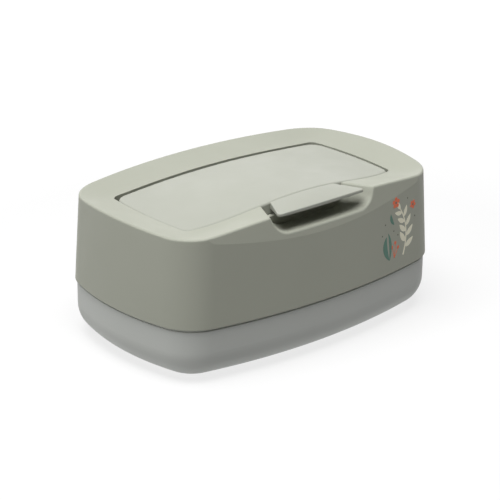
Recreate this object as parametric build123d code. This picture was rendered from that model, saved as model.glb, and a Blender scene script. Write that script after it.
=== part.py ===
from build123d import *
import os
from math import sqrt

os.makedirs("parts", exist_ok=True)

# Millimetres. X is to the right, +Y to the back, Z up. The feet stand on Z = 0.
FOOT_PROUD = 0.6

# Upper housing: outline at the parting line and how it draws in towards the rim.
PARTING_Z = 35.2
RIM_END_Z = 92.0
HALF_LENGTH = 110.0
HALF_WIDTH = 70.8
DRAW_IN_ENDS = 2.9
DRAW_IN_SIDES = 4.4
LONG_SIDE_RADIUS = 390.0
LONG_SIDE_FLATTENING = 81.0
SHORT_SIDE_RADIUS = 159.0
SHORT_SIDE_FLATTENING = 4.0
CORNER_RADIUS = 27.8
CORNER_OPENING = 0.7
WALL = 2.4
RIM_EDGE_ROUND = 1.2
LOWER_EDGE_ROUND = 0.6
RIM_HALF_X = HALF_LENGTH - DRAW_IN_ENDS
RIM_HALF_Y = HALF_WIDTH - DRAW_IN_SIDES
BEYOND = 16.0
CLEAR_ABOVE = 40.0
FAR_ABOVE = RIM_END_Z + CLEAR_ABOVE

# Tray: a pillow shaped bottom under a straight wall, set in from the housing.
TRAY_INSET = 1.2
TRAY_BOTTOM_ROUND = 19.0
TRAY_EDGE_ROUND = 0.4
GROOVE_HEIGHT = 1.2
GROOVE_DEPTH = 0.8
SPIGOT_CLEARANCE = 0.25
SPIGOT_WALL = 2.6
SPIGOT_HEIGHT = 8.3
SPIGOT_TOP_Z = PARTING_Z + SPIGOT_HEIGHT
TRAY_SEAL_ABOVE_PARTING = 3.4
TRAY_SEAL_HEIGHT = 2.2
TRAY_SEAL_DEPTH = 1.3
RUNNING_GAP = 0.05

# Feet in shallow sockets.
FOOT_RADIUS = 8.0
FOOT_SOCKET_DEPTH = 1.2
FOOT_EDGE_ROUND = 0.3
FOOT_FROM_END = 40.0
FOOT_FROM_SIDE = 38.8

# Rim: flat band round the lid, and the lid outline of four shallow arcs.
RIM_BAND_ENDS = 22.9
RIM_BAND_BACK = 25.4
RIM_BAND_FRONT = 21.4
LID_BACK_Y = RIM_HALF_Y - RIM_BAND_BACK
LID_FRONT_Y = RIM_BAND_FRONT - RIM_HALF_Y
LID_SIDE_X = RIM_HALF_X - RIM_BAND_ENDS
LID_MIDDLE_Y = (LID_BACK_Y + LID_FRONT_Y) / 2
LID_BACK_RADIUS = 568.0
LID_FRONT_RADIUS = 320.0
LID_SIDE_RADIUS = 250.0
LID_INSET = 0.35
LID_REAR_CORNER = 10.5
LID_FRONT_CORNER = 6.5
WELL_SIDE_GAP = 0.35
WELL_BACK_GAP = 1.6
WELL_REAR_CORNER = 5.5
WELL_FRONT_CORNER = 4.0
WELL_WALL = 2.0

# Heights of the sculpted top: low at the lid's ends, rising to the front middle.
RIM_SLOPE_DROP = 4.8
LID_END_Z = RIM_END_Z - RIM_SLOPE_DROP
LID_BACK_RISE = 0.9
LID_FRONT_RISE = 9.4
LID_RISE_OVERRUN = 1.5
LID_CROWN = 1.0
RIM_FRONT_RISE = 3.1
RIM_RISE_OVERRUN = 5.6
RIM_BEND = 4.0
FORWARD_BEND = 6.0

# Facet across the top of the front wall.
FACET_RADIUS = 555.0
FACET_LEAN = 11.9
FACET_INSET = 3.5
FACET_HEIGHT = 12.8
FACET_RIM_SET_BACK = 2.1
FACET_FOOT_Y = FACET_INSET - HALF_WIDTH
FACET_FOOT_Z = RIM_END_Z - FACET_HEIGHT

# Deck inside the lid well and the dispensing hole in it.
WELL_DEPTH = 12.2
DECK_Z = LID_END_Z - WELL_DEPTH
DECK_THICK = 2.0
HOLE_LENGTH = 100.0
HOLE_WIDTH = 40.0
HOLE_FORWARD = 3.85
HOLE_Y = LID_MIDDLE_Y - HOLE_FORWARD
LIP_WALL = 1.8

# Finger scoop: a bowl with a crisp lip, whose floor falls gently towards the lid.
SCOOP_BACK_REACH = 5.3
SCOOP_BACK_HALF = 25.1
SCOOP_FRONT_REACH = 1.2
SCOOP_FRONT_HALF = 40.1
SCOOP_LIP_DROP = 3.6
SCOOP_FLOOR_FALL = 0.14
SCOOP_SIDE_SLOPE = 0.54
SCOOP_CORNER = 12.0
SCOOP_WALL = 2.2
SCOOP_LIP_ROUND = 1.4
SCOOP_LIP_Z = LID_END_Z - SCOOP_LIP_DROP
SCOOP_BACK_Y = LID_FRONT_Y + SCOOP_BACK_REACH
SCOOP_FRONT_Y = -HALF_WIDTH - SCOOP_FRONT_REACH
WELL_FRONT_WALL_EXTRA = 0.15
WELL_FRONT_WALL_Y = LID_FRONT_Y - WELL_SIDE_GAP - WELL_WALL - WELL_FRONT_WALL_EXTRA
WELL_FRONT_WALL_RISE = 0.3

# Lid mouldings.
COVER_THICK = 1.8
SKIRT_WALL = 1.8
SKIRT_DEPTH = 4.6
PLATE_TOP_Z = LID_END_Z - SKIRT_DEPTH
PLATE_THICK = 2.0
PLATE_BOTTOM_Z = PLATE_TOP_Z - PLATE_THICK
RISER_HALF = 24.5
RISER_WALL = 2.6
RISER_GAP = 0.05
TAB_REAR_HALF = 25.0
TAB_FRONT_HALF = 35.2
TAB_ROOT_OVERLAP = 1.8
TAB_SET_BACK = 4.1
TAB_FRONT_BULGE = 1.2
TAB_ROOT_RISE = 3.6
TAB_TIP_RISE = 6.6
TAB_CORNER = 2.2
TAB_EDGE_ROUND = 0.6
TAB_REAR_Y = LID_FRONT_Y + TAB_ROOT_OVERLAP
TAB_FRONT_Y = TAB_SET_BACK - RIM_HALF_Y
COVER_EDGE_ROUND = 1.5
POST_RADIUS = 1.6
POST_FROM_END = 18.2
POST_END_SPREAD = 20.0
POST_MIDDLE_X = 42.0
POST_FROM_LONG_EDGE = 11.0

# Seal ring under the lid, held between two ribs, and the lip it closes on.
SEAL_WIDTH = 2.6
SEAL_HEIGHT = 2.6
RIB_WALL = 1.2
RIB_HEIGHT = 1.4
SEAL_BOTTOM_Z = PLATE_BOTTOM_Z - SEAL_HEIGHT
LIP_TOP_Z = SEAL_BOTTOM_Z - RUNNING_GAP

# Hinge.
HINGE_FROM_BACK = 8.0
HINGE_BELOW_TOP = 2.2
HINGE_Y = LID_BACK_Y - HINGE_FROM_BACK
HINGE_Z = LID_END_Z - HINGE_BELOW_TOP
PIN_RADIUS = 1.0
KNUCKLE_RADIUS = 2.1
EAR_WIDTH = 2.5
EAR_INNER_X = 12.0
KNUCKLE_LENGTH = 11.1
KNUCKLE_SIDE_GAP = 0.2
EAR_OUTER_X = EAR_INNER_X + EAR_WIDTH + KNUCKLE_LENGTH + 2 * KNUCKLE_SIDE_GAP
EAR_LEAN = 12.0
EAR_BASE = 6.0
EAR_SLOT_REACH = 9.5
EAR_SLOT_SIDE_GAP = 0.3
SKIRT_NOTCH_RISE = 2.0
SMALL = 1.0
ON_SURFACE = 0.02


def soft_ramp(distance, softness):
    """Zero before the start of a slope and the plain distance after it, with a soft bend."""
    return (distance + sqrt(distance * distance + softness * softness)) / 2


def lid_edge_height(x, y):
    """Height of the top where lid and rim meet."""
    across = max(1 - (x / (LID_SIDE_X + LID_RISE_OVERRUN)) ** 2, 0) ** 2
    forward = soft_ramp(LID_BACK_Y - y, FORWARD_BEND) / (LID_BACK_Y - LID_FRONT_Y)
    return LID_END_Z + across * (LID_BACK_RISE + (LID_FRONT_RISE - LID_BACK_RISE) * forward)


def lid_height(x, y):
    """Height of the lid panel: the edge height and a slight crown."""
    along = max(1 - (x / LID_SIDE_X) ** 2, 0)
    over = max(1 - ((y - LID_MIDDLE_Y) / (LID_BACK_Y - LID_MIDDLE_Y)) ** 2, 0)
    return lid_edge_height(x, y) + LID_CROWN * along * over


def rim_height(x, y):
    """Height of the rim: from the lid's edge up to the outer edge of the box."""
    front_edge_y = FACET_RIM_SET_BACK - RIM_HALF_Y
    rise = max(1 - (x / (RIM_HALF_X + RIM_RISE_OVERRUN)) ** 2, 0) ** 1.5
    forward = soft_ramp(LID_BACK_Y - y, FORWARD_BEND) / (LID_BACK_Y - front_edge_y)
    outer = RIM_END_Z + RIM_FRONT_RISE * rise * forward
    end_part = soft_ramp(abs(x) - LID_SIDE_X, RIM_BEND) / RIM_BAND_ENDS
    back_part = soft_ramp(y - LID_BACK_Y, RIM_BEND) / RIM_BAND_BACK
    front_part = soft_ramp(LID_FRONT_Y - y, RIM_BEND) / (LID_FRONT_Y - front_edge_y)
    share = (end_part ** 1.5 + back_part ** 1.5 + front_part ** 1.5) ** (1 / 1.5)
    inner = lid_edge_height(x, y)
    return inner + (outer - inner) * share


def space_above(height, half_x, half_y, columns, rows):
    """Solid that fills everything above a sculpted top surface."""
    points = []
    for i in range(columns + 1):
        x = -half_x + 2 * half_x * i / columns
        line = []
        for j in range(rows + 1):
            y = -half_y + 2 * half_y * j / rows
            line.append(Vector(x, y, height(x, y)))
        points.append(line)
    skin = Face.make_surface_from_array_of_points(points, tol=0.01, min_deg=3, max_deg=5)
    return extrude(skin, amount=2 * CLEAR_ABOVE, dir=(0, 0, 1))


def rounded_outline(half_x, half_y, long_radius, short_radius, corner):
    """Rounded rectangle whose four sides bulge outwards."""
    sides = Pos(0, half_y - long_radius) * Circle(long_radius)
    sides = sides & Pos(0, long_radius - half_y) * Circle(long_radius)
    sides = sides & Pos(half_x - short_radius, 0) * Circle(short_radius)
    sides = sides & Pos(short_radius - half_x, 0) * Circle(short_radius)
    return fillet(sides.vertices(), corner)


def housing_outline(z, inset):
    """Outline of the drafted housing at a height, drawn in by an inset."""
    share = (z - PARTING_Z) / (RIM_END_Z - PARTING_Z)
    half_x = HALF_LENGTH - DRAW_IN_ENDS * share
    half_y = HALF_WIDTH - DRAW_IN_SIDES * share
    long_radius = LONG_SIDE_RADIUS + LONG_SIDE_FLATTENING * share
    short_radius = SHORT_SIDE_RADIUS + SHORT_SIDE_FLATTENING * share
    corner = CORNER_RADIUS + CORNER_OPENING * share
    flat = rounded_outline(
        half_x - inset, half_y - inset, long_radius - inset, short_radius - inset, corner - inset
    )
    return Pos(0, 0, z) * flat


def drafted_block(bottom_z, top_z, inset):
    return loft([housing_outline(bottom_z, inset), housing_outline(top_z, inset)], ruled=True)


def lid_outline(side, front, back, rear_corner, front_corner):
    """Lid outline grown by the given amounts at its sides, front and back."""
    shape = Pos(0, LID_BACK_Y - LID_BACK_RADIUS) * Circle(LID_BACK_RADIUS + back)
    shape = shape & Pos(0, LID_FRONT_Y + LID_FRONT_RADIUS) * Circle(LID_FRONT_RADIUS + front)
    for sign in (-1, 1):
        centre = Pos(sign * (LID_SIDE_X - LID_SIDE_RADIUS), LID_MIDDLE_Y)
        shape = shape & centre * Circle(LID_SIDE_RADIUS + side)
    shape = fillet(shape.vertices().sort_by(Axis.Y)[-2:], rear_corner)
    return fillet(shape.vertices().sort_by(Axis.Y)[:2], front_corner)


def prism(flat, bottom_z, top_z):
    return extrude(Pos(0, 0, bottom_z) * flat, amount=top_z - bottom_z)


def box_between(x0, x1, y0, y1, z0, z1):
    return Pos((x0 + x1) / 2, (y0 + y1) / 2, (z0 + z1) / 2) * Box(x1 - x0, y1 - y0, z1 - z0)


def scoop_block(grow):
    """Finger scoop: a falling floor and leaning sides that widen to the front, open far above."""
    corners = []
    for y, half in ((SCOOP_BACK_Y, SCOOP_BACK_HALF), (SCOOP_FRONT_Y, SCOOP_FRONT_HALF)):
        floor_z = SCOOP_LIP_Z - SCOOP_FLOOR_FALL * (y - FACET_FOOT_Y) - grow
        for z in (floor_z, FAR_ABOVE):
            reach = half + SCOOP_SIDE_SLOPE * (z - SCOOP_LIP_Z) + grow
            corners.append((reach, y, z))
            corners.append((-reach, y, z))
    block = ConvexPolyhedron(corners)
    floor_edges = block.faces().sort_by(Axis.Z)[0].edges().sort_by(Axis.X)
    return fillet([floor_edges[0], floor_edges[-1]], SCOOP_CORNER + grow)


def facet_drum(inward):
    """Wide leaning drum whose surface is the slightly bulged facet."""
    drum = Cylinder(FACET_RADIUS - inward, 2 * FACET_RADIUS)
    return Pos(0, FACET_FOOT_Y, FACET_FOOT_Z) * Rot(-FACET_LEAN, 0, 0) * Pos(0, FACET_RADIUS, 0) * drum


def stadium(length, width):
    return SlotOverall(length, width)


def touches(edge, block):
    """True for an edge that lies on the surface of a block."""
    samples = [edge @ t for t in (0.3, 0.7)]
    return all(block.faces().sort_by_distance(p)[0].distance_to(p) < ON_SURFACE for p in samples)


def only_solid(shape):
    """The largest solid of a result, so no sliver is carried along."""
    return shape.solids().sort_by(SortBy.VOLUME)[-1]


above_rim = space_above(rim_height, HALF_LENGTH + BEYOND, HALF_WIDTH + BEYOND, 36, 28)
above_lid = space_above(lid_height, LID_SIDE_X + BEYOND, LID_BACK_Y + BEYOND, 32, 24)

front_wall_keep = box_between(
    -SCOOP_FRONT_HALF - BEYOND, SCOOP_FRONT_HALF + BEYOND, WELL_FRONT_WALL_Y, LID_MIDDLE_Y,
    DECK_Z, LID_END_Z + WELL_FRONT_WALL_RISE,
)
scoop_cut = scoop_block(0) - front_wall_keep


def rounded_mouth(block):
    """Cuts the finger scoop in a block and rounds the scoop's front edges."""
    cut = only_solid(block - scoop_cut)
    lip_edges = [
        e for e in cut.edges()
        if e.bounding_box().max.Y < WELL_FRONT_WALL_Y - SMALL and touches(e, scoop_cut)
    ]
    return fillet(lip_edges, SCOOP_LIP_ROUND)


# Housing. The scoop's lip is rounded on the plain wall and on the facet, and the two are then joined.
MOUTH_TOP_Z = RIM_END_Z + 2 * RIM_FRONT_RISE
zone_x = HALF_LENGTH + BEYOND
zone_y = HALF_WIDTH + BEYOND
zone = box_between(-zone_x, zone_x, -zone_y, zone_y, 0, MOUTH_TOP_Z)
shell = rounded_mouth(drafted_block(PARTING_Z, MOUTH_TOP_Z, 0)) & rounded_mouth(zone & facet_drum(0))
shell = only_solid(shell - above_rim)
top_face = shell.faces().filter_by(lambda f: f.center().Z > LID_END_Z).sort_by(SortBy.AREA)[-1]
rim_edges = [e for e in top_face.edges() if e.bounding_box().size.Y > SMALL]
shell = fillet(rim_edges, RIM_EDGE_ROUND)
low_edges = shell.edges().group_by(Axis.Z)[0]
shell = fillet(low_edges, LOWER_EDGE_ROUND)
inside = drafted_block(PARTING_Z - SMALL, MOUTH_TOP_Z, WALL)
inside = (inside & facet_drum(WALL)) - Pos(0, 0, -WALL) * above_rim
well_shape = lid_outline(WELL_SIDE_GAP, WELL_SIDE_GAP, WELL_BACK_GAP, WELL_REAR_CORNER, WELL_FRONT_CORNER)
well_tub_shape = lid_outline(
    WELL_SIDE_GAP + WELL_WALL, WELL_SIDE_GAP + WELL_WALL, WELL_BACK_GAP + WELL_WALL,
    WELL_REAR_CORNER + WELL_WALL, WELL_FRONT_CORNER + WELL_WALL,
)
inside = inside - prism(well_tub_shape, DECK_Z - DECK_THICK, FAR_ABOVE)
inside = inside - scoop_block(SCOOP_WALL)
shell = shell - inside
shell = shell - prism(well_shape, DECK_Z, FAR_ABOVE)
hole = stadium(HOLE_LENGTH, HOLE_WIDTH)
lip = stadium(HOLE_LENGTH + 2 * LIP_WALL, HOLE_WIDTH + 2 * LIP_WALL)
shell = shell + Pos(0, HOLE_Y, 0) * prism(lip, DECK_Z - DECK_THICK, LIP_TOP_Z)
shell = shell - Pos(0, HOLE_Y, 0) * prism(hole, DECK_Z - 2 * DECK_THICK, LIP_TOP_Z + SMALL)


def ear_profile():
    """Side view of a forward leaning hinge ear: a round head on a tapered stalk."""
    head = Pos(HINGE_Y, HINGE_Z) * Circle(KNUCKLE_RADIUS)
    foot = Pos(HINGE_Y - EAR_LEAN, DECK_Z - DECK_THICK / 4) * Rectangle(EAR_BASE, DECK_THICK / 2)
    return make_hull(head.edges() + foot.edges())


def in_side_view(face, start_x, width):
    """Stands a Y-Z drawing upright and gives it a width along X."""
    return extrude(Plane(origin=(start_x, 0, 0), x_dir=(0, 1, 0), z_dir=(1, 0, 0)) * face, amount=width)


ear_starts = [EAR_INNER_X, EAR_OUTER_X, -EAR_INNER_X - EAR_WIDTH, -EAR_OUTER_X - EAR_WIDTH]
ear_face = ear_profile()
for start_x in ear_starts:
    shell = shell + in_side_view(ear_face, start_x, EAR_WIDTH)
pin_hole = Pos(HINGE_Y, HINGE_Z) * Circle(PIN_RADIUS)
PIN_LENGTH = EAR_OUTER_X + EAR_WIDTH - EAR_INNER_X
pin_right = in_side_view(pin_hole, EAR_INNER_X, PIN_LENGTH)
pin_left = in_side_view(pin_hole, -EAR_INNER_X - PIN_LENGTH, PIN_LENGTH)
shell = only_solid(shell - pin_right - pin_left)

# Tray with its spigot.


def plan_outline(inset):
    """The housing's outline at the parting line, drawn in by an inset."""
    return rounded_outline(
        HALF_LENGTH - inset, HALF_WIDTH - inset, LONG_SIDE_RADIUS - inset,
        SHORT_SIDE_RADIUS - inset, CORNER_RADIUS - inset,
    )


def pillow(inset, bottom_z, top_z, bottom_round):
    """A block with that outline and a well rounded bottom edge."""
    block = prism(plan_outline(inset), bottom_z, top_z)
    return fillet(block.edges().group_by(Axis.Z)[0], bottom_round)


tray = pillow(TRAY_INSET, FOOT_PROUD, PARTING_Z - GROOVE_HEIGHT, TRAY_BOTTOM_ROUND)
tray = fillet(tray.edges().group_by(Axis.Z)[-1], TRAY_EDGE_ROUND)
tray = tray + prism(plan_outline(TRAY_INSET + GROOVE_DEPTH), PARTING_Z - 2 * WALL, PARTING_Z)
spigot_outer = housing_outline(SPIGOT_TOP_Z, WALL + SPIGOT_CLEARANCE)
spigot_outer = Pos(0, 0, -SPIGOT_TOP_Z) * spigot_outer
tray = tray + prism(spigot_outer, PARTING_Z - 2 * WALL, SPIGOT_TOP_Z)
hollow = pillow(
    TRAY_INSET + WALL, FOOT_PROUD + WALL, PARTING_Z - WALL, TRAY_BOTTOM_ROUND - WALL
)
spigot_inner = Pos(0, 0, -SPIGOT_TOP_Z) * housing_outline(SPIGOT_TOP_Z, WALL + SPIGOT_CLEARANCE + SPIGOT_WALL)
tray = tray - hollow - prism(spigot_inner, PARTING_Z - 3 * WALL, SPIGOT_TOP_Z + SMALL)
gland_z = PARTING_Z + TRAY_SEAL_ABOVE_PARTING
gland_outer = Pos(0, 0, -SPIGOT_TOP_Z) * housing_outline(SPIGOT_TOP_Z, WALL + RUNNING_GAP)
gland_inner = housing_outline(SPIGOT_TOP_Z, WALL + SPIGOT_CLEARANCE + TRAY_SEAL_DEPTH)
gland_inner = Pos(0, 0, -SPIGOT_TOP_Z) * gland_inner
tray_seal = prism(gland_outer, gland_z, gland_z + TRAY_SEAL_HEIGHT)
tray_seal = tray_seal - prism(gland_inner, gland_z - SMALL, gland_z + TRAY_SEAL_HEIGHT + SMALL)
tray = tray - tray_seal

feet = {}
for side, sign_x in (("left", -1), ("right", 1)):
    for end, sign_y in (("front", -1), ("rear", 1)):
        place = Pos(sign_x * (HALF_LENGTH - FOOT_FROM_END), sign_y * (HALF_WIDTH - FOOT_FROM_SIDE), 0)
        foot = place * prism(Circle(FOOT_RADIUS), 0, FOOT_PROUD + FOOT_SOCKET_DEPTH)
        tray = tray - foot
        foot = fillet(foot.edges().group_by(Axis.Z)[0], FOOT_EDGE_ROUND)
        feet["foot_" + end + "_" + side] = foot
tray = only_solid(tray)

# Lid: crowned cover with a skirt, and the inner frame.
cover_shape = lid_outline(-LID_INSET, -LID_INSET, -LID_INSET, LID_REAR_CORNER, LID_FRONT_CORNER)
skirt_inset = LID_INSET + SKIRT_WALL
skirt_shape = lid_outline(
    -skirt_inset, -skirt_inset, -skirt_inset, LID_REAR_CORNER - SKIRT_WALL, LID_FRONT_CORNER - SKIRT_WALL
)
below_cover = Pos(0, 0, -COVER_THICK) * above_lid
cover = prism(cover_shape, PLATE_TOP_Z, FAR_ABOVE) - above_lid
cover = only_solid(cover)
cover = fillet(cover.faces().sort_by(Axis.Z)[-1].edges(), COVER_EDGE_ROUND)
cover = cover - (prism(skirt_shape, PLATE_TOP_Z - SMALL, FAR_ABOVE) - below_cover)
riser_front_y = LID_FRONT_Y - RISER_WALL
riser_back_y = LID_FRONT_Y + 2 * RISER_WALL
riser_room = box_between(
    -RISER_HALF - RISER_GAP, RISER_HALF + RISER_GAP, riser_front_y, riser_back_y, PLATE_BOTTOM_Z, FAR_ABOVE
)
cover = cover - (riser_room - below_cover)
for start_x in ear_starts:
    cover = cover - box_between(
        start_x - EAR_SLOT_SIDE_GAP, start_x + EAR_WIDTH + EAR_SLOT_SIDE_GAP,
        HINGE_Y, LID_BACK_Y + SMALL, PLATE_BOTTOM_Z, PLATE_TOP_Z + SKIRT_NOTCH_RISE,
    )
posts = []
for sign_x in (-1, 1):
    end_x = sign_x * (LID_SIDE_X - POST_FROM_END)
    middle_x = sign_x * POST_MIDDLE_X
    places = [
        (end_x, LID_MIDDLE_Y - POST_END_SPREAD), (end_x, LID_MIDDLE_Y + POST_END_SPREAD),
        (middle_x, LID_FRONT_Y + POST_FROM_LONG_EDGE), (middle_x, LID_BACK_Y - POST_FROM_LONG_EDGE),
    ]
    for x, y in places:
        posts.append(Pos(x, y, 0) * prism(Circle(POST_RADIUS), PLATE_BOTTOM_Z, FAR_ABOVE))
for post in posts:
    cover = cover + (post - (Pos(0, 0, -COVER_THICK / 2) * above_lid))
cover = only_solid(cover)

frame = prism(cover_shape, PLATE_BOTTOM_Z, PLATE_TOP_Z)
riser_face = lid_outline(0, 0, 0, LID_REAR_CORNER, LID_FRONT_CORNER)
riser_back = lid_outline(0, -RISER_WALL, 0, LID_REAR_CORNER, LID_FRONT_CORNER)
riser = prism(riser_face, PLATE_BOTTOM_Z, FAR_ABOVE)
riser = riser - prism(riser_back, PLATE_BOTTOM_Z - SMALL, FAR_ABOVE + SMALL)
riser = riser & box_between(-RISER_HALF, RISER_HALF, riser_front_y, riser_back_y, PLATE_BOTTOM_Z, FAR_ABOVE)
riser = riser - Pos(0, 0, -RISER_GAP) * below_cover
front_arc = ThreePointArc(
    (-TAB_FRONT_HALF, TAB_FRONT_Y), (0, TAB_FRONT_Y - TAB_FRONT_BULGE), (TAB_FRONT_HALF, TAB_FRONT_Y)
)
tab_sides = Polyline(
    (TAB_FRONT_HALF, TAB_FRONT_Y), (TAB_REAR_HALF, TAB_REAR_Y),
    (-TAB_REAR_HALF, TAB_REAR_Y), (-TAB_FRONT_HALF, TAB_FRONT_Y),
)
tab_face = make_face(Curve() + front_arc + tab_sides)
tab_face = fillet(tab_face.vertices().group_by(Axis.Y)[0], TAB_CORNER)
wedge = make_face(Polyline(
    (TAB_REAR_Y, LID_END_Z + TAB_ROOT_RISE), (SCOOP_FRONT_Y, LID_END_Z + TAB_TIP_RISE),
    (SCOOP_FRONT_Y, FAR_ABOVE), (TAB_REAR_Y, FAR_ABOVE), close=True,
))
tab = prism(tab_face, LID_END_Z, FAR_ABOVE) & in_side_view(wedge, -TAB_FRONT_HALF, 2 * TAB_FRONT_HALF)
tab = only_solid(tab - prism(riser_face, PLATE_BOTTOM_Z, FAR_ABOVE + SMALL) - above_rim)
tab_edges = [e for e in tab.edges() if e.center().Y < LID_FRONT_Y - SMALL]
tab = fillet(tab_edges, TAB_EDGE_ROUND)
frame = frame + riser + tab
for post in posts:
    frame = frame - post


def ring(inner_grow, outer_grow, bottom_z, top_z):
    """Stadium ring following the lip of the dispensing hole."""
    outer = stadium(HOLE_LENGTH + LIP_WALL + 2 * outer_grow, HOLE_WIDTH + LIP_WALL + 2 * outer_grow)
    inner = stadium(HOLE_LENGTH + LIP_WALL + 2 * inner_grow, HOLE_WIDTH + LIP_WALL + 2 * inner_grow)
    return Pos(0, HOLE_Y, 0) * (prism(outer, bottom_z, top_z) - prism(inner, bottom_z - SMALL, top_z + SMALL))


half_seal = SEAL_WIDTH / 2
rib_bottom_z = PLATE_BOTTOM_Z - RIB_HEIGHT
rib_root_z = PLATE_BOTTOM_Z + PLATE_THICK / 2
lid_seal = ring(-half_seal, half_seal, SEAL_BOTTOM_Z, PLATE_BOTTOM_Z)
frame = frame + ring(half_seal, half_seal + RIB_WALL, rib_bottom_z, rib_root_z)
frame = frame + ring(-half_seal - RIB_WALL, -half_seal, rib_bottom_z, rib_root_z)

for start_x in ear_starts:
    frame = frame - box_between(
        start_x - EAR_SLOT_SIDE_GAP, start_x + EAR_WIDTH + EAR_SLOT_SIDE_GAP,
        HINGE_Y - EAR_SLOT_REACH, LID_BACK_Y + SMALL, PLATE_BOTTOM_Z - SMALL, PLATE_TOP_Z + SMALL,
    )
knuckle_face = Pos(HINGE_Y, HINGE_Z) * Circle(KNUCKLE_RADIUS)
web = Pos(HINGE_Y, (HINGE_Z + PLATE_BOTTOM_Z) / 2)
web = web * Rectangle(2 * KNUCKLE_RADIUS, HINGE_Z - PLATE_BOTTOM_Z)
knuckle_face = knuckle_face + web
bore = Pos(HINGE_Y, HINGE_Z) * Circle(PIN_RADIUS + RUNNING_GAP)
for start_x in (EAR_INNER_X + EAR_WIDTH + KNUCKLE_SIDE_GAP, -EAR_OUTER_X + KNUCKLE_SIDE_GAP):
    frame = frame + in_side_view(knuckle_face, start_x, KNUCKLE_LENGTH)
    frame = frame - in_side_view(bore, start_x - SMALL, KNUCKLE_LENGTH + 2 * SMALL)
frame = only_solid(frame)

pieces = {
    "base_tray": tray,
    "tray_seal": tray_seal,
    "housing_shell": shell,
    "hinge_pin_left": pin_left,
    "hinge_pin_right": pin_right,
    "lid_frame": frame,
    "lid_cover": cover,
    "lid_seal": lid_seal,
}
pieces.update(feet)
for name, piece in pieces.items():
    piece.label = name
    export_step(piece, "parts/" + name + ".step")
    print(name, round(piece.volume, 1), len(piece.faces()), len(piece.solids()), piece.is_valid)
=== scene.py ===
"""Looks of the baby wipes box: finishes, the print on its front wall, camera, light and floor.

Lengths are in metres. The print alone is drawn in millimetres.
"""

import math

import bmesh
import bpy
from mathutils import Matrix, Vector
from mathutils.bvhtree import BVHTree


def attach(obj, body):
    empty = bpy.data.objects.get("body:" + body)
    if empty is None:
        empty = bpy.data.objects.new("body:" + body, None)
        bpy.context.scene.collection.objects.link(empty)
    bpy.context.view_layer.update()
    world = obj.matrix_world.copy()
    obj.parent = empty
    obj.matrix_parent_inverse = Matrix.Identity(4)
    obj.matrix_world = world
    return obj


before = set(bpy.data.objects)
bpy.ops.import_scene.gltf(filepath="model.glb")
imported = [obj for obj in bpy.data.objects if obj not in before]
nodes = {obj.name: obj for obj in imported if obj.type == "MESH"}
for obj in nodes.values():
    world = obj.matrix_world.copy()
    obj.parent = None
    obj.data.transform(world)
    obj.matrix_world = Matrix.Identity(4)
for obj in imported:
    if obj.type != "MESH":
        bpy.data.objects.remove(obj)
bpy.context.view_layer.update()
scene = bpy.context.scene


# Node helpers

USUAL_NOISE = (0.3, 0.7)


class Graph:
    """Node tree of a material or world, with short calls for the nodes used here."""

    def __init__(self, owner, output_kind="ShaderNodeOutputMaterial"):
        owner.use_nodes = True
        self.tree = owner.node_tree
        self.tree.nodes.clear()
        self.output = self.node(output_kind)

    def node(self, kind, **settings):
        made = self.tree.nodes.new(kind)
        for key, value in settings.items():
            setattr(made, key, value)
        return made

    def link(self, source, target):
        self.tree.links.new(source, target)

    def show(self, shader):
        """Makes the owner look like this shader."""
        self.link(shader, self.output.inputs["Surface"])

    def place(self):
        return self.node("ShaderNodeTexCoord").outputs["Object"]

    def noise(self, scale, detail, roughness=0.5):
        made = self.node("ShaderNodeTexNoise")
        made.inputs["Scale"].default_value = scale
        made.inputs["Detail"].default_value = detail
        made.inputs["Roughness"].default_value = roughness
        self.link(self.place(), made.inputs["Vector"])
        return made.outputs["Fac"]

    def span(self, source, low, high, from_limits=USUAL_NOISE):
        """Stretches a value from its own limits to a new low and high."""
        made = self.node("ShaderNodeMapRange")
        made.inputs["From Min"].default_value = from_limits[0]
        made.inputs["From Max"].default_value = from_limits[1]
        made.inputs["To Min"].default_value = low
        made.inputs["To Max"].default_value = high
        self.link(source, made.inputs["Value"])
        return made.outputs["Result"]

    def blend(self, source, dark, light):
        made = self.node("ShaderNodeMix", data_type="RGBA")
        made.inputs["A"].default_value = (*dark, 1)
        made.inputs["B"].default_value = (*light, 1)
        self.link(source, made.inputs["Factor"])
        return made.outputs["Result"]

    def bump(self, height, strength, distance):
        made = self.node("ShaderNodeBump")
        made.inputs["Strength"].default_value = strength
        made.inputs["Distance"].default_value = distance
        self.link(height, made.inputs["Height"])
        return made.outputs["Normal"]

    def either(self, share, at_zero, at_one):
        """Shader that turns from the first to the second as the share goes from zero to one."""
        made = self.node("ShaderNodeMixShader")
        self.link(share, made.inputs["Fac"])
        self.link(at_zero, made.inputs[1])
        self.link(at_one, made.inputs[2])
        return made.outputs["Shader"]


# Finishes. A noise is its scale, its detail and, where it isn't the usual one, its roughness.

SHELL_COLOUR = (0.403, 0.414, 0.349)
LID_COLOUR = (0.408, 0.418, 0.364)
TRAY_COLOUR = (0.56, 0.575, 0.545)
PLASTIC_TONE = (9.0, 2.0)
PLASTIC_SHADES = (0.97, 1.02)
PLASTIC_SHEEN = (60.0, 3.0)
PLASTIC_ROUGHNESS = (0.42, 0.54)
PLASTIC_SPECULAR = 0.15
GRAIN = (2600.0, 2.0, 0.6)
GRAIN_STRENGTH = 0.35
GRAIN_DEPTH = 0.00002

SILICONE_COLOUR = (0.72, 0.72, 0.68)
SILICONE_ROUGHNESS = 0.7
FOOT_COLOUR = (0.16, 0.165, 0.16)
FOOT_ROUGHNESS = 0.75
BLOOM = (220.0, 4.0)
BLOOM_SHADES = (0.92, 1.05)
RUBBER_SHEEN = (500.0, 2.0)
SMOOTHER_SPOTS = 0.06
ROUGHER_SPOTS = 0.08
RUBBER_SKIN = (3500.0, 2.0)
RUBBER_SKIN_STRENGTH = 0.3
RUBBER_SKIN_DEPTH = 0.00002

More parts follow.
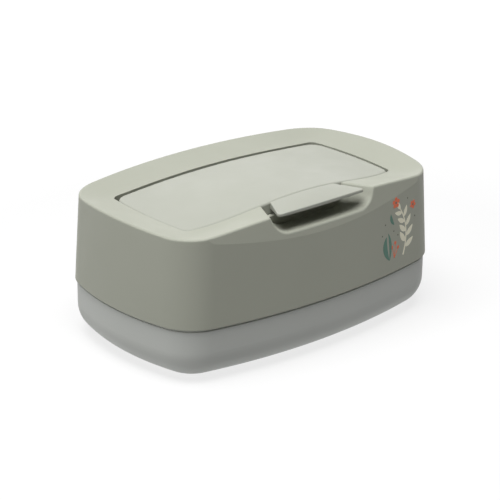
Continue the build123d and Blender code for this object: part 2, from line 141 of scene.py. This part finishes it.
STEEL_DARK = (0.56, 0.56, 0.57)
STEEL_LIGHT = (0.66, 0.66, 0.67)
STEEL_ROUGHNESS = (0.25, 0.4)
LINE_SCALE = 900.0
LINE_WANDER = 1.5


def shaded(colour, factor):
    return tuple(c * factor for c in colour)


def mottled(graph, colour, noise, shades):
    """The colour in a darker and a lighter shade that blend into each other."""
    darker, lighter = shades
    share = graph.span(graph.noise(*noise), 0, 1)
    return graph.blend(share, shaded(colour, darker), shaded(colour, lighter))


def moulded(name, colour, rough=PLASTIC_ROUGHNESS, grain_depth=GRAIN_DEPTH):
    """Matte moulded plastic: an even tone, spark-eroded grain and slightly uneven sheen."""
    material = bpy.data.materials.new(name)
    graph = Graph(material)
    shader = graph.node("ShaderNodeBsdfPrincipled")
    graph.link(mottled(graph, colour, PLASTIC_TONE, PLASTIC_SHADES), shader.inputs["Base Color"])
    graph.link(graph.span(graph.noise(*PLASTIC_SHEEN), *rough), shader.inputs["Roughness"])
    shader.inputs["Specular IOR Level"].default_value = PLASTIC_SPECULAR
    grain = graph.bump(graph.noise(*GRAIN), GRAIN_STRENGTH, grain_depth)
    graph.link(grain, shader.inputs["Normal"])
    graph.show(shader.outputs["BSDF"])
    return material


def soft_rubber(name, colour, rough):
    """Soft silicone or rubber with a fine powdery bloom."""
    material = bpy.data.materials.new(name)
    graph = Graph(material)
    shader = graph.node("ShaderNodeBsdfPrincipled")
    graph.link(mottled(graph, colour, BLOOM, BLOOM_SHADES), shader.inputs["Base Color"])
    sheen = graph.span(graph.noise(*RUBBER_SHEEN), rough - SMOOTHER_SPOTS, rough + ROUGHER_SPOTS)
    graph.link(sheen, shader.inputs["Roughness"])
    skin = graph.bump(graph.noise(*RUBBER_SKIN), RUBBER_SKIN_STRENGTH, RUBBER_SKIN_DEPTH)
    graph.link(skin, shader.inputs["Normal"])
    graph.show(shader.outputs["BSDF"])
    return material


def drawn_steel(name):
    """Drawn steel with fine lines round its length."""
    material = bpy.data.materials.new(name)
    graph = Graph(material)
    shader = graph.node("ShaderNodeBsdfPrincipled")
    lines = graph.node("ShaderNodeTexWave", wave_type="BANDS", bands_direction="X")
    lines.inputs["Scale"].default_value = LINE_SCALE
    lines.inputs["Distortion"].default_value = LINE_WANDER
    graph.link(graph.place(), lines.inputs["Vector"])
    share = lines.outputs["Fac"]
    graph.link(graph.blend(share, STEEL_DARK, STEEL_LIGHT), shader.inputs["Base Color"])
    graph.link(graph.span(share, *STEEL_ROUGHNESS, from_limits=(0, 1)), shader.inputs["Roughness"])
    shader.inputs["Metallic"].default_value = 1.0
    graph.show(shader.outputs["BSDF"])
    return material


def dress(material, *names):
    """Gives CAD nodes their material."""
    for name in names:
        slots = nodes[name].data.materials
        slots.clear()
        slots.append(material)


dress(moulded("shell_plastic", SHELL_COLOUR), "housing_shell")
dress(moulded("lid_plastic", LID_COLOUR), "lid_cover", "lid_frame")
dress(moulded("tray_plastic", TRAY_COLOUR), "base_tray")
dress(soft_rubber("seal_silicone", SILICONE_COLOUR, SILICONE_ROUGHNESS), "tray_seal", "lid_seal")
foot_rubber = soft_rubber("foot_rubber", FOOT_COLOUR, FOOT_ROUGHNESS)
dress(foot_rubber, "foot_front_left", "foot_front_right", "foot_rear_left", "foot_rear_right")
dress(drawn_steel("pin_steel"), "hinge_pin_left", "hinge_pin_right")


# Print near the right end of the front wall. Its places and sizes are in millimetres of X and Z.

MM = 0.001
FILM = 0.03 * MM
SAME_PLACE = 0.001 * MM
IN_FRONT = -0.2
TOWARDS_WALL = Vector((0, 1, 0))
STRIP_STEPS = 18
DISC_SIDES = 20
INK_ROUGHNESS = (0.40, 0.5)
INK_GRAIN_DEPTH = 0.00001

CREAM = (0.92, 0.89, 0.72)
CORAL = (0.86, 0.20, 0.10)
TEAL = (0.13, 0.25, 0.20)
DARK = (0.16, 0.17, 0.14)

LEAF_FULLNESS = 0.8
PETAL_FULLNESS = 0.6
PETAL_WIDEST = 1.4
TIP_THINNING = 0.4

STEM = ((67, 44), (74.5, 60), (65, 74))
STEM_HALF_WIDTH = 0.7
LEAF_PAIRS = 4
FIRST_LEAF = 0.16
LEAVES_SPAN = 0.76
LONGEST_LEAF = 10.0
SHORTEST_LEAF = 7.0
LEAF_SPREAD = 48
LEAF_SAG = 0.16
LEAF_HALF_WIDTH = 0.2

# Each blossom is its middle, its radius and the direction of its first petal.
BLOSSOMS = (((60.5, 79.5), 3.6, 90), ((77.5, 74), 2.9, 60))
PETALS = 5
PETAL_START = 0.12
PETAL_HALF_WIDTH = 0.36
EYE_RADIUS = 0.2

BERRY_ROOT = (58, 44.5)
BERRIES = ((56, 52), (59.3, 54), (62, 50.5))
BERRY_RADIUS = 1.1
STALK_HALF_WIDTH = 0.28
STALK_BOW = Vector((0.5, 0))

# Each broad leaf is its root, bend and tip, and its half width.
BROAD_LEAVES = (
    (((53.5, 44), (47, 52), (51, 60)), 2.0),
    (((53.5, 44), (56, 54), (52.5, 62)), 1.2),
    (((58.5, 66), (55, 69), (55.5, 73.5)), 1.2),
)
DOTS = ((50, 68), (47, 61.5), (62, 58.5), (79.5, 66), (72, 79.5), (58, 62))
DOT_RADIUS = 0.5

wall_mesh = nodes["housing_shell"].data
wall = BVHTree.FromPolygons([v.co for v in wall_mesh.vertices], [p.vertices for p in wall_mesh.polygons])


def curve(*places):
    """Curve from the first place to the third, drawn towards the second."""
    return tuple(Vector(place) for place in places)


def curve_point(line, t):
    start, bend, end = line
    return start * (1 - t) ** 2 + bend * 2 * t * (1 - t) + end * t ** 2


def curve_heading(line, t):
    start, bend, end = line
    return ((bend - start) * (1 - t) + (end - bend) * t).normalized()


def turned(heading, degrees):
    angle = math.radians(degrees)
    return Vector((
        heading.x * math.cos(angle) - heading.y * math.sin(angle),
        heading.x * math.sin(angle) + heading.y * math.cos(angle),
    ))


def pointed(t):
    """Share of a leaf's half width along it."""
    return max(math.sin(math.pi * t), 0) ** LEAF_FULLNESS


def rounded(t):
    """Share of a petal's half width along it: widest near its tip."""
    return max(math.sin(math.pi * t ** PETAL_WIDEST), 0) ** PETAL_FULLNESS


def tapered(t):
    """Share of a stem's half width along it."""
    return 1 - TIP_THINNING * t


class Ink:
    """Film of one print colour on the front wall. A higher layer lies over the lower ones."""

    def __init__(self, name, colour, layer):
        self.name = name
        self.colour = colour
        self.proud = FILM * layer
        self.film = bmesh.new()

    def corner(self, place):
        start = Vector((place.x * MM, IN_FRONT, place.y * MM))
        hit, normal, _, _ = wall.ray_cast(start, TOWARDS_WALL)
        return self.film.verts.new(hit + normal * self.proud)

    def strip(self, line, half_width, profile):
        """Curved strip, such as a stem, leaf or petal."""
        rows = []
        for i in range(STRIP_STEPS + 1):
            t = i / STRIP_STEPS
            middle = curve_point(line, t)
            aside = turned(curve_heading(line, t), 90) * half_width * profile(t)
            rows.append([self.corner(middle + aside * side) for side in (1, 0, -1)])
        for near, far in zip(rows, rows[1:]):
            for k in (0, 1):
                self.film.faces.new((near[k], near[k + 1], far[k + 1], far[k]))

    def disc(self, middle, radius):
        centre = self.corner(middle)
        rim = [
            self.corner(middle + turned(Vector((radius, 0)), 360 * i / DISC_SIDES))
            for i in range(DISC_SIDES)
        ]
        for i in range(DISC_SIDES):
            self.film.faces.new((centre, rim[i], rim[(i + 1) % DISC_SIDES]))

    def finish(self):
        """Makes a thin closed piece, half of it sunk in the wall, that rides on the housing."""
        bmesh.ops.remove_doubles(self.film, verts=self.film.verts, dist=SAME_PLACE)
        mesh = bpy.data.meshes.new(self.name)
        self.film.to_mesh(mesh)
        self.film.free()
        mesh.materials.append(moulded(self.name, self.colour, INK_ROUGHNESS, INK_GRAIN_DEPTH))
        piece = bpy.data.objects.new(self.name, mesh)
        scene.collection.objects.link(piece)
        thickness = piece.modifiers.new("thickness", "SOLIDIFY")
        thickness.thickness = 2 * self.proud
        thickness.offset = -1
        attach(piece, "housing")


def sprig(ink):
    """Stem with leaves on alternate sides, shorter towards its tip, where one more leaf ends it."""
    stem = curve(*STEM)
    ink.strip(stem, STEM_HALF_WIDTH, tapered)
    leaves = 2 * LEAF_PAIRS
    for i in range(leaves):
        t = FIRST_LEAF + LEAVES_SPAN * i / (leaves - 1)
        root = curve_point(stem, t)
        length = LONGEST_LEAF + (SHORTEST_LEAF - LONGEST_LEAF) * t
        heading = curve_heading(stem, t)
        outward = turned(heading, LEAF_SPREAD if i % 2 else -LEAF_SPREAD)
        bend = root + outward * length / 2 - heading * length * LEAF_SAG
        ink.strip((root, bend, root + outward * length), length * LEAF_HALF_WIDTH, pointed)
    root = stem[2]
    tip = root + curve_heading(stem, 1) * SHORTEST_LEAF
    ink.strip((root, (root + tip) / 2, tip), SHORTEST_LEAF * LEAF_HALF_WIDTH, pointed)


def blossom(petal_ink, eye_ink, middle, radius, first_turn):
    for i in range(PETALS):
        heading = turned(Vector((1, 0)), first_turn + 360 * i / PETALS)
        start = middle + heading * radius * PETAL_START
        end = middle + heading * radius
        petal_ink.strip((start, (start + end) / 2, end), radius * PETAL_HALF_WIDTH, rounded)
    eye_ink.disc(middle, radius * EYE_RADIUS)


def berries(ink):
    """Berries on stalks that spread from one root."""
    root = Vector(BERRY_ROOT)
    for place in BERRIES:
        berry = Vector(place)
        ink.strip((root, (root + berry) / 2 + STALK_BOW, berry), STALK_HALF_WIDTH, tapered)
        ink.disc(berry, BERRY_RADIUS)


def add_print():
    cream_ink = Ink("print_cream", CREAM, 1)
    coral_ink = Ink("print_coral", CORAL, 2)
    teal_ink = Ink("print_teal", TEAL, 3)
    dark_ink = Ink("print_dark", DARK, 4)
    sprig(cream_ink)
    for middle, radius, first_turn in BLOSSOMS:
        blossom(coral_ink, dark_ink, Vector(middle), radius, first_turn)
    berries(coral_ink)
    for places, half_width in BROAD_LEAVES:
        teal_ink.strip(curve(*places), half_width, pointed)
    for place in DOTS:
        dark_ink.disc(Vector(place), DOT_RADIUS)
    for ink in (cream_ink, coral_ink, teal_ink, dark_ink):
        ink.finish()


add_print()


# Camera, from the view that the photograph was taken at

CAMERA_AZIMUTH = math.radians(-40.83)
CAMERA_ELEVATION = math.radians(22.24)
CAMERA_ROLL = math.radians(0.66)
CAMERA_PLACE = Vector((-0.78097, -0.90057, 0.53124))
CAMERA_LENS = 148.78
CAMERA_SENSOR = 36.0
CAMERA_REACH = 20


def add_camera():
    back = Vector((
        math.sin(CAMERA_AZIMUTH) * math.cos(CAMERA_ELEVATION),
        -math.cos(CAMERA_AZIMUTH) * math.cos(CAMERA_ELEVATION),
        math.sin(CAMERA_ELEVATION),
    ))
    right = (-back).cross(Vector((0, 0, 1))).normalized()
    up = right.cross(-back)
    rolled_right = right * math.cos(CAMERA_ROLL) + up * math.sin(CAMERA_ROLL)
    rolled_up = up * math.cos(CAMERA_ROLL) - right * math.sin(CAMERA_ROLL)
    data = bpy.data.cameras.new("photo_camera")
    data.lens = CAMERA_LENS
    data.sensor_width = CAMERA_SENSOR
    data.clip_end = CAMERA_REACH
    camera = bpy.data.objects.new("photo_camera", data)
    scene.collection.objects.link(camera)
    turn = Matrix((rolled_right, rolled_up, back)).transposed().to_4x4()
    camera.matrix_world = Matrix.Translation(CAMERA_PLACE) @ turn
    scene.camera = camera


add_camera()


# Lamps: where each stands, its width and height, and its power in watts. All face the box.

LAMPS = {
    "top_softbox": ((-0.3, -0.12, 1.5), (1.3, 1.0), 31.0),
    "left_card": ((-1.6, 0.3, 0.5), (0.9, 0.8), 5.4),
    "rear_card": ((0.9, 1.6, 0.45), (1.8, 0.9), 4.2),
}
LAMP_TARGET = Vector((0, 0, 0.05))


def add_lamp(name, place, size, watts):
    data = bpy.data.lights.new(name, "AREA")
    data.shape = "RECTANGLE"
    data.size, data.size_y = size
    data.energy = watts
    lamp = bpy.data.objects.new(name, data)
    scene.collection.objects.link(lamp)
    lamp.location = place
    lamp.rotation_euler = (LAMP_TARGET - Vector(place)).to_track_quat("-Z", "Y").to_euler()


for lamp_name, lamp_values in LAMPS.items():
    add_lamp(lamp_name, *lamp_values)


# Sky and floor. Each lights the box dimly, and is seen white by the rays that show the backdrop.

WHITE = (1, 1, 1, 1)
SKY_FILL = 0.01
SKY_SHOWN = 1.0
FLOOR_BOUNCE = 0.05
FLOOR_FILL = 0.45
FLOOR_SHADE = 0.22
FLOOR_GLOW = 0.75
FLOOR_FAR_GLOW = 1.0
FLOOR_FADE = (0.25, 0.8)
FLOOR_HALF = 8.0
FLOOR_DROP = 0.00005


def backdrop_rays(graph):
    """One for rays that show the backdrop directly, in gloss or through glass, and zero for others."""
    path = graph.node("ShaderNodeLightPath")
    share = path.outputs["Is Camera Ray"]
    for ray in ("Is Glossy Ray", "Is Transmission Ray"):
        larger = graph.node("ShaderNodeMath", operation="MAXIMUM")
        graph.link(share, larger.inputs[0])
        graph.link(path.outputs[ray], larger.inputs[1])
        share = larger.outputs["Value"]
    return share


def sky_light(graph, strength):
    light = graph.node("ShaderNodeBackground")
    light.inputs["Color"].default_value = WHITE
    light.inputs["Strength"].default_value = strength
    return light.outputs["Background"]


def add_sky():
    world = bpy.data.worlds.new("studio")
    graph = Graph(world, "ShaderNodeOutputWorld")
    fill = sky_light(graph, SKY_FILL)
    shown = sky_light(graph, SKY_SHOWN)
    graph.show(graph.either(backdrop_rays(graph), fill, shown))
    scene.world = world


def glowing_matte(graph, shade, glow):
    """Matte white of the given reflectance with a glow: its shader, and its glow's node."""
    matte = graph.node("ShaderNodeBsdfDiffuse")
    matte.inputs["Color"].default_value = (shade, shade, shade, 1)
    emission = graph.node("ShaderNodeEmission")
    emission.inputs["Color"].default_value = WHITE
    emission.inputs["Strength"].default_value = glow
    both = graph.node("ShaderNodeAddShader")
    graph.link(matte.outputs["BSDF"], both.inputs[0])
    graph.link(emission.outputs["Emission"], both.inputs[1])
    return both.outputs["Shader"], emission


def floor_white():
    """White that keeps a soft shadow near the box, glows further out and is clear from below."""
    material = bpy.data.materials.new("floor_white")
    graph = Graph(material)
    fill, _ = glowing_matte(graph, FLOOR_BOUNCE, FLOOR_FILL)
    shown, emission = glowing_matte(graph, FLOOR_SHADE, FLOOR_GLOW)
    away = graph.node("ShaderNodeVectorMath", operation="LENGTH")
    graph.link(graph.place(), away.inputs[0])
    glow = graph.span(away.outputs["Value"], FLOOR_GLOW, FLOOR_FAR_GLOW, from_limits=FLOOR_FADE)
    graph.link(glow, emission.inputs["Strength"])
    from_above = graph.either(backdrop_rays(graph), fill, shown)
    below = graph.node("ShaderNodeNewGeometry").outputs["Backfacing"]
    clear = graph.node("ShaderNodeBsdfTransparent").outputs["BSDF"]
    graph.show(graph.either(below, from_above, clear))
    return material


def add_floor():
    mesh = bpy.data.meshes.new("floor")
    signs = ((-1, -1), (1, -1), (1, 1), (-1, 1))
    corners = [(x * FLOOR_HALF, y * FLOOR_HALF, -FLOOR_DROP) for x, y in signs]
    mesh.from_pydata(corners, [], [(0, 1, 2, 3)])
    mesh.materials.append(floor_white())
    floor = bpy.data.objects.new("floor", mesh)
    scene.collection.objects.link(floor)


add_sky()
add_floor()
scene.view_settings.view_transform = "Standard"
